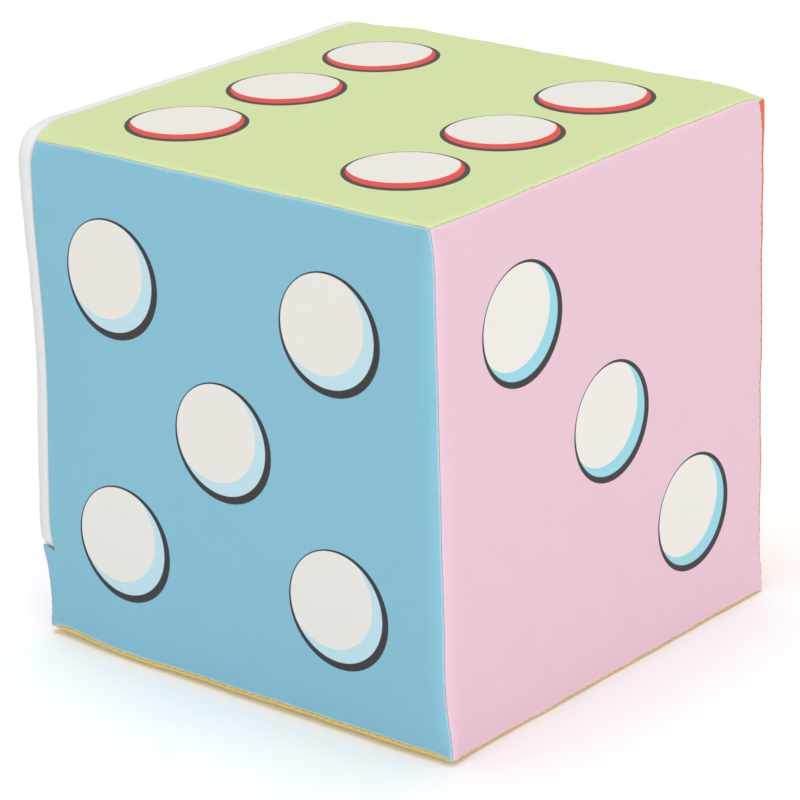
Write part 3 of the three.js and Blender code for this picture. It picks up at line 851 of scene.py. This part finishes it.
class Shader(Nodes):
    """A material's node tree."""

    def __init__(self, name):
        self.material = bpy.data.materials.new(name)
        self.material.use_nodes = True
        super().__init__(self.material.node_tree)
        self.surface = self.tree.nodes["Principled BSDF"]

    def set(self, **values):
        """Sets the surface's sockets, with _ for each space in their names."""
        for key, value in values.items():
            self.give(self.surface.inputs[key.replace("_", " ")], value)

    def mix(self, share, first, second):
        """Colours mixed by a share from 0 to 1."""
        inputs = {0: share, 6: first, 7: second}
        return self.add("ShaderNodeMix", inputs, 2, data_type="RGBA")

    def cloth_uv(self):
        return self.add("ShaderNodeUVMap", {}, uv_map="cloth")

    def object_place(self):
        return self.add("ShaderNodeTexCoord", {}, "Object")

    def scaled(self, vector, scale, shift=(0, 0, 0)):
        inputs = {0: vector, 1: scale, 2: shift}
        return self.add("ShaderNodeVectorMath", inputs, operation="MULTIPLY_ADD")

    def noise(self, place, scale, detail=2.0):
        return self.add("ShaderNodeTexNoise", {"Vector": place, "Scale": scale, "Detail": detail})

    def spread(self, noise, start, end):
        """A noise, which mostly keeps near its middle, turned into a range."""
        return self.between(noise, NOISE_LOW, NOISE_HIGH, start, end)

    def bump(self, height, distance, strength):
        inputs = {"Height": height, "Distance": distance * MM, "Strength": strength}
        self.set(Normal=self.add("ShaderNodeBump", inputs))


# Colours

def srgb(red, green, blue):
    """A display colour, 0 to 255, as the linear colour that a shader takes."""
    shares = [c / 255 for c in (red, green, blue)]
    linear = [c / 12.92 if c <= 0.04045 else ((c + 0.055) / 1.055) ** 2.4 for c in shares]
    return (*linear, 1)


def darker(colour, share):
    """A colour with this share of its light."""
    return (*(share * c for c in colour[:3]), 1)


INK = srgb(58, 54, 56)
PRINT_WHITE = srgb(232, 229, 222)
# Pale colour for the folded borders: partly thinned print, partly a painted highlight of the rolled edges
RIM_PALE_AND_HIGHLIGHT = srgb(236, 240, 244)
SOFT_RED = srgb(228, 66, 54)
PALE_BLUE = srgb(150, 212, 224)
SUN_YELLOW = srgb(246, 206, 96)
ICE_BLUE = srgb(190, 222, 232)

# Dots of the dice, in millimetres from the middle of a face

DOT_R = 23.0
DOT_FILL_R = 21.2
DOT_FILL_SHIFT = (-0.95, 0.95)
DOT_GLEAM_R = 20.4
DOT_GLEAM_SHIFT = (-4.6, 4.6)
PRINT_SOFT = 0.12
SPREAD = 52.0
ROW_SPREAD = 56.0
SQUARE_DOTS = [(x, y) for x in (-SPREAD, SPREAD) for y in (-SPREAD, SPREAD)]
DOTS = {
    1: [(0, 0)],
    2: [(-SPREAD, -SPREAD), (SPREAD, SPREAD)],
    3: [(-SPREAD, SPREAD), (0, 0), (SPREAD, -SPREAD)],
    4: SQUARE_DOTS,
    5: [(0, 0)] + SQUARE_DOTS,
    6: [(x, y) for x in (-SPREAD, SPREAD) for y in (-ROW_SPREAD, 0, ROW_SPREAD)],
}


def dot_mask(shader, place, dots, radius, shift=(0, 0)):
    """1 inside any of the dots' discs of this radius."""
    nearest = None
    for x, y in dots:
        inputs = {0: place, 1: (x + shift[0], y + shift[1], 0)}
        away = shader.add("ShaderNodeVectorMath", inputs, 1, operation="DISTANCE")
        nearest = away if nearest is None else shader.calc("MINIMUM", nearest, away)
    return shader.between(nearest, radius - PRINT_SOFT, radius + PRINT_SOFT, 1.0, 0.0)


# Materials

YARN_ACROSS = 3.2
YARN_ALONG = 0.7
WEFT_SHIFT = (40, 17, 0)
# Width of the borders' paler colour: partly thinned print, partly a painted highlight
RIM_W = 1.8
PRINT_DEPTH = 0.985
BACK_DEPTH = 0.93
FACE_SPAN = (2 * HALF, 2 * HALF, 0)
RIB_SLANT = math.radians(35)


def cloth_grain(shader, place):
    """The fine uneven weave and soft nap of matte printed cloth."""
    warp = shader.noise(shader.scaled(place, (YARN_ACROSS, YARN_ALONG, 0)), scale=1.0)
    weft = shader.noise(shader.scaled(place, (YARN_ALONG, YARN_ACROSS, 0), WEFT_SHIFT), scale=1.0)
    nap = shader.noise(place, scale=0.3)
    height = shader.calc("ADD", shader.calc("ADD", warp, weft), nap)
    shader.bump(height, distance=0.12, strength=0.5)
    shader.set(
        Roughness=shader.spread(nap, 0.78, 0.9),
        Sheen_Weight=0.12,
        Sheen_Roughness=0.5,
        Specular_IOR_Level=0.22,
    )


def worn_and_highlit_rim(shader, place, most):
    """How far the colour pales along the panel's folded borders: partly thinned print, partly a painted
    highlight where the rolled edge catches the light.
    """
    away = shader.add("ShaderNodeVectorMath", {0: place}, operation="ABSOLUTE")
    across = shader.add("ShaderNodeSeparateXYZ", {0: away}, "X")
    up = shader.add("ShaderNodeSeparateXYZ", {0: away}, "Y")
    border = shader.calc("SUBTRACT", HALF, shader.calc("MAXIMUM", across, up))
    patchy = shader.spread(shader.noise(place, scale=0.5, detail=3.0), most / 2, most)
    return shader.calc("MULTIPLY", shader.between(border, 0.0, RIM_W, 1.0, 0.0), patchy)


def printed_cloth(name, colour, count, accent, wear):
    """Cloth with a number of dots; wear is how far the borders pale, partly thinned print and partly a
    painted highlight of the rolled edges.
    """
    shader = Shader(name)
    place = shader.scaled(shader.cloth_uv(), FACE_SPAN, (-HALF, -HALF, 0))
    mottle = shader.between(shader.noise(place, scale=0.08, detail=4.0), 0.35, 0.65)
    shown = shader.mix(mottle, darker(colour, PRINT_DEPTH), colour)
    # Paler, cooler colour at the folded borders: partly thinned print, partly a painted highlight
    shown = shader.mix(worn_and_highlit_rim(shader, place, wear), shown, RIM_PALE_AND_HIGHLIGHT)
    dots = DOTS[count]
    shown = shader.mix(dot_mask(shader, place, dots, DOT_R), shown, INK)
    filled = dot_mask(shader, place, dots, DOT_FILL_R, DOT_FILL_SHIFT)
    shown = shader.mix(filled, shown, accent)
    gleam = dot_mask(shader, place, dots, DOT_GLEAM_R, DOT_GLEAM_SHIFT)
    shown = shader.mix(shader.calc("MULTIPLY", gleam, filled), shown, PRINT_WHITE)
    shader.set(Base_Color=shown)
    cloth_grain(shader, place)
    return shader.material


def plain_cloth(name, colour):
    """The unprinted back of the cloth."""
    shader = Shader(name)
    place = shader.scaled(shader.cloth_uv(), FACE_SPAN)
    mottle = shader.noise(place, scale=0.08, detail=3.0)
    shader.set(Base_Color=shader.mix(mottle, darker(colour, BACK_DEPTH), colour))
    cloth_grain(shader, place)
    return shader.material


def woven_tape():
    """White zip tape: close diagonal ribs across a fine weave."""
    shader = Shader("zip_tape")
    place = shader.scaled(shader.cloth_uv(), (TAPE_UV_SPAN, TAPE_UV_SPAN, 0))
    slanted = shader.add("ShaderNodeMapping", {"Vector": place, "Rotation": (0, 0, RIB_SLANT)})
    ribs = shader.add("ShaderNodeTexWave", {"Vector": slanted, "Scale": 0.6, "Distortion": 0.4})
    weave = shader.noise(place, scale=1.6)
    shader.set(
        Base_Color=shader.mix(ribs, srgb(222, 222, 221), srgb(229, 229, 228)),
        Roughness=shader.spread(weave, 0.7, 0.85),
        Sheen_Weight=0.1,
        Specular_IOR_Level=0.25,
    )
    shader.bump(shader.calc("ADD", ribs, weave), distance=0.08, strength=0.4)
    return shader.material


def sewing_thread():
    """Orange-brown thread with fine fibres."""
    shader = Shader("thread")
    fibre = shader.noise(shader.object_place(), scale=2600.0)
    shader.set(
        Base_Color=shader.mix(fibre, srgb(168, 108, 64), srgb(198, 142, 92)),
        Roughness=0.8,
        Sheen_Weight=0.2,
    )
    shader.bump(fibre, distance=0.1, strength=0.5)
    return shader.material


def open_cell_foam():
    """Cream open-cell foam: small pits in a light ground, with painted shade darkening the pits."""
    shader = Shader("foam")
    place = shader.object_place()
    cells = shader.add("ShaderNodeTexVoronoi", {"Vector": place, "Scale": 880.0})
    ground = shader.between(cells, 0.1, 0.5)
    tone = shader.noise(place, scale=14.0, detail=3.0)
    light = shader.mix(tone, srgb(240, 230, 200), srgb(246, 239, 216))
    shader.set(
        # The pits' darker colour is painted shade inside them
        Base_Color=shader.mix(ground, srgb(220, 205, 167), light),
        Roughness=0.95,
        Specular_IOR_Level=0.15,
    )
    shader.bump(ground, distance=0.6, strength=0.6)
    return shader.material


def moulded_plastic():
    """White plastic of the teeth and stops, slightly translucent."""
    shader = Shader("zip_plastic")
    wear = shader.noise(shader.object_place(), scale=260.0, detail=3.0)
    shader.set(
        Base_Color=shader.mix(wear, srgb(236, 234, 230), srgb(244, 243, 240)),
        Roughness=shader.spread(wear, 0.28, 0.42),
        Subsurface_Weight=0.15,
        Subsurface_Radius=(MM, MM, MM),
        Subsurface_Scale=1.0,
    )
    return shader.material


def lacquered_metal():
    """White lacquer with the soft unevenness of a coated casting."""
    shader = Shader("slider_lacquer")
    place = shader.object_place()
    flow = shader.noise(place, scale=420.0, detail=3.0)
    wear = shader.between(shader.noise(place, scale=1500.0, detail=3.0), 0.6, 0.75)
    shader.set(
        Base_Color=shader.mix(wear, srgb(240, 239, 236), srgb(233, 232, 229)),
        Roughness=shader.spread(flow, 0.2, 0.34),
        Coat_Weight=0.4,
        Coat_Roughness=0.12,
    )
    shader.bump(flow, distance=0.1, strength=0.25)
    return shader.material


# The last value is how far each panel's borders pale: partly thinned print, partly a painted highlight
CLOTH = {
    "front": printed_cloth("cloth_blue", srgb(133, 190, 210), 5, ICE_BLUE, 0.6),
    "right": printed_cloth("cloth_pink", srgb(229, 194, 208), 3, PALE_BLUE, 0.3),
    "top": printed_cloth("cloth_green", srgb(207, 222, 161), 6, SOFT_RED, 0.1),
    "back": printed_cloth("cloth_orange", srgb(222, 108, 50), 2, SUN_YELLOW, 0.05),
    "bottom": printed_cloth("cloth_yellow", srgb(235, 200, 80), 1, SOFT_RED, 0.05),
    "left": printed_cloth("cloth_lilac", srgb(185, 163, 207), 4, PALE_BLUE, 0.3),
}
CLOTH_BACK = plain_cloth("cloth_back", srgb(226, 224, 220))
TAPE = woven_tape()
THREAD = sewing_thread()
PLASTIC = moulded_plastic()
LACQUER = lacquered_metal()

# Cover panels

JOG_LIFT = 0.5
JOG_SLANT = 1.2
FRONT_STEP = FRONT_JOG + JOG_LIFT
BACK_STEP = BACK_JOG + JOG_LIFT
# Outlines as (across, up), counter-clockwise seen from outside
SQUARE = [(-HALF, -HALF), (HALF, -HALF), (HALF, HALF), (-HALF, HALF)]
TOP_OUTLINE = [(ZIP_HEM, -HALF), (HALF, -HALF), (HALF, HALF), (ZIP_HEM, HALF)]
FRONT_OUTLINE = [
    (-HALF, -HALF), (HALF, -HALF), (HALF, HALF),
    (ZIP_HEM, HALF), (ZIP_HEM, FRONT_STEP), (-HALF, FRONT_STEP + JOG_SLANT),
]
BACK_OUTLINE = [
    (-HALF, -HALF), (HALF, -HALF), (HALF, BACK_STEP),
    (-ZIP_HEM, BACK_STEP), (-ZIP_HEM, HALF), (-HALF, HALF),
]
LEFT_OUTLINE = [
    (-HALF, -HALF), (HALF, -HALF), (HALF, FRONT_STEP), (FLAP_HEM, FRONT_STEP),
    (FLAP_HEM, FLAP_HEM), (-FLAP_HEM, FLAP_HEM), (-FLAP_HEM, BACK_STEP), (-HALF, BACK_STEP),
]
# Each panel: its face, slot and outline, the sides of the outline that are hems, and its crown
PANELS = (
    ("right", "cloth_pink", SQUARE, (), CROWN),
    ("bottom", "cloth_yellow", SQUARE, (), 0),
    ("top", "cloth_green", TOP_OUTLINE, (3,), CROWN),
    ("front", "cloth_blue", FRONT_OUTLINE, (3, 4), CROWN),
    ("back", "cloth_orange", BACK_OUTLINE, (2, 3), CROWN),
    ("left", "cloth_purple", LEFT_OUTLINE, (2, 3, 4, 5, 6), CROWN),
)


def fold_blend(piece):
    """Bakes the placement of a piece of the zipped side into its mesh."""
    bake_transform(piece)


def place_panels():
    """Makes the cover's six sides; the left one keeps its placement baked in and is not attached to a
    body.
    """
    for face, slot, outline, hems, crown in PANELS:
        piece = panel(f"{face}_cloth", face, outline, hems, [CLOTH[face], CLOTH_BACK], crown)
        if face == "left":
            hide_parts("left_panel_base", "left_panel_flap")
            fold_blend(piece)
        else:
            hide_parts(f"{face}_panel")
            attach(piece, "cube")


# Zip

FLAP_CHAIN_START = 3.5
FLAP_FIRST_TOOTH = 8.0
BODY_CHAIN_START = -0.7
BODY_CHAIN_PAST = 4.75
BODY_CHAIN_END = CHAIN + BODY_CHAIN_PAST


def place_zip():
    """Makes both tapes and both rows of teeth."""
    outer = body_tape(TAPE)
    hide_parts("zip_tape_body")
    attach(outer, "cube")
    inner = flap_tape(TAPE)
    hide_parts("zip_tape_flap", "zip_tape_end_front", "zip_tape_end_back")
    fold_blend(inner)
    cord_span = (BODY_CHAIN_START, BODY_CHAIN_END)
    teeth_span = (BODY_CHAIN_START + TOOTH_W, BODY_CHAIN_END - TOOTH_W)
    teeth = chain_half("teeth_on_cube", 1, *cord_span, *teeth_span, PLASTIC)
    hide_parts("zip_teeth_body")
    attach(teeth, "cube")
    cord_span = (FLAP_CHAIN_START, CHAIN - FLAP_CHAIN_START)
    teeth_span = (FLAP_FIRST_TOOTH, CHAIN - FLAP_FIRST_TOOTH)
    teeth = chain_half("teeth_on_flap", -1, *cord_span, *teeth_span, PLASTIC)
    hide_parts("zip_teeth_flap")
    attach(teeth, "flap")


WELD_REACH = 0.01
FLAT_ANGLE = math.radians(2)
SHARP_ANGLE = math.radians(35)
ROUND_STEPS = 3
STOP_ROUND = 0.22
SLIDER_ROUND = 0.1
PULL_ROUND = 0.15
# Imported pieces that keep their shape: material and width of their rounded edges
HARDWARE = {
    "zip_bottom_stop": (PLASTIC, STOP_ROUND),
    "zip_top_stop_body": (PLASTIC, STOP_ROUND),
    "zip_top_stop_flap": (PLASTIC, STOP_ROUND),
    "zip_slider": (LACQUER, SLIDER_ROUND),
    "zip_pull": (LACQUER, PULL_ROUND),
}


def round_edges(piece, width):
    """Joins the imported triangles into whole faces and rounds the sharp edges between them."""
    weld = piece.modifiers.new("weld", "WELD")
    weld.merge_threshold = WELD_REACH * MM
    joined = piece.modifiers.new("whole_faces", "DECIMATE")
    joined.decimate_type = "DISSOLVE"
    joined.angle_limit = FLAT_ANGLE
    bevel = piece.modifiers.new("rounding", "BEVEL")
    bevel.width = width * MM
    bevel.segments = ROUND_STEPS
    bevel.limit_method = "ANGLE"
    bevel.angle_limit = SHARP_ANGLE
    bevel.harden_normals = True


def finish_hardware():
    """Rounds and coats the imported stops, slider and pull."""
    for name, (material, width) in HARDWARE.items():
        piece = frame["nodes"][name]
        piece.data.materials.clear()
        piece.data.materials.append(material)
        round_edges(piece, width)


# Camera, floor and light, in metres

AZIMUTH = math.radians(39.97)
ELEVATION = math.radians(20.27)
ROLL = math.radians(-1.36)
CAMERA_AWAY = 1.4752
LENS = 175.47
SENSOR_W = 36
AIM_RIGHT = 0.00017
AIM_UP = -0.01251
FLOOR_HALF = 4.0
FLOOR_GAP = 0.0004
FLOOR_GLOW = 0.1
FLOOR_COLOUR = (0.95, 0.95, 0.95, 1)
WHITE = (1, 1, 1, 1)
BRIGHT_SIDE = (0.1, -0.95, 0.3)
DIM_LEVEL = 0.34
BRIGHT_LEVEL = 0.68
# Each lamp: the direction it is in, how wide it looks in degrees, and its power
LAMPS = {
    "key": ((-0.11, 0.08, 1.0), 42, 1.37),
    "side": ((0.87, -0.5, 0.15), 25, 1.2),
}


def add_camera():
    data = bpy.data.cameras.new("camera")
    data.lens = LENS
    data.sensor_width = SENSOR_W
    camera = bpy.data.objects.new("camera", data)
    back = Vector((
        math.sin(AZIMUTH) * math.cos(ELEVATION),
        -math.cos(AZIMUTH) * math.cos(ELEVATION),
        math.sin(ELEVATION),
    ))
    level = Vector((math.cos(AZIMUTH), math.sin(AZIMUTH), 0))
    rise = back.cross(level)
    right = level * math.cos(ROLL) + rise * math.sin(ROLL)
    up = rise * math.cos(ROLL) - level * math.sin(ROLL)
    middle = Vector((0, 0, HALF * MM))
    where = middle + right * AIM_RIGHT + up * AIM_UP + back * CAMERA_AWAY
    camera.matrix_world = Matrix.Translation(where) @ Matrix((right, up, back)).transposed().to_4x4()
    bpy.context.scene.collection.objects.link(camera)
    bpy.context.scene.camera = camera


def add_floor():
    """A wide pale floor that looks white and keeps the object's shadow."""
    mesh = bpy.data.meshes.new("floor")
    signs = ((-1, -1), (1, -1), (1, 1), (-1, 1))
    corners = [(x * FLOOR_HALF, y * FLOOR_HALF, -FLOOR_GAP) for x, y in signs]
    mesh.from_pydata(corners, [], [(0, 1, 2, 3)])
    floor = bpy.data.objects.new("floor", mesh)
    bpy.context.scene.collection.objects.link(floor)
    shader = Shader("floor")
    glow = shader.calc("MULTIPLY", shader.background_rays(), FLOOR_GLOW)
    shader.set(Base_Color=FLOOR_COLOUR, Roughness=1.0, Specular_IOR_Level=0.0)
    shader.set(Emission_Color=WHITE, Emission_Strength=glow)
    mesh.materials.append(shader.material)


def add_lamp(name, way, spread, power):
    """A soft lamp far away in a direction, as wide as this angle in degrees."""
    data = bpy.data.lights.new(name, "SUN")
    data.angle = math.radians(spread)
    data.energy = power
    lamp = bpy.data.objects.new(name, data)
    lamp.location = way
    lamp.rotation_mode = "QUATERNION"
    lamp.rotation_quaternion = (-Vector(way)).to_track_quat("-Z", "Y")
    bpy.context.scene.collection.objects.link(lamp)


def add_light():
    """Two lamps, and a white world that lights the object more from its bright side."""
    world = bpy.data.worlds.new("studio")
    bpy.context.scene.world = world
    world.use_nodes = True
    studio = Nodes(world.node_tree)
    backdrop = studio.tree.nodes["Background"]
    way = studio.add("ShaderNodeTexCoord", {}, "Generated")
    inputs = {0: way, 1: BRIGHT_SIDE}
    toward = studio.add("ShaderNodeVectorMath", inputs, "Value", operation="DOT_PRODUCT")
    level = studio.between(toward, -1, 1, DIM_LEVEL, BRIGHT_LEVEL)
    studio.give(backdrop.inputs["Color"], WHITE)
    studio.give(backdrop.inputs["Strength"], studio.calc("MAXIMUM", level, studio.background_rays()))
    for name, lamp in LAMPS.items():
        add_lamp(name, *lamp)


add_camera()
add_floor()
add_light()
place_panels()
place_zip()
finish_hardware()
foam_block(open_cell_foam())
for seam in SEAMS:
    seam_stitches(seam, THREAD)
flap_tape_stitches(THREAD)

bpy.context.scene.view_settings.view_transform = "Standard"
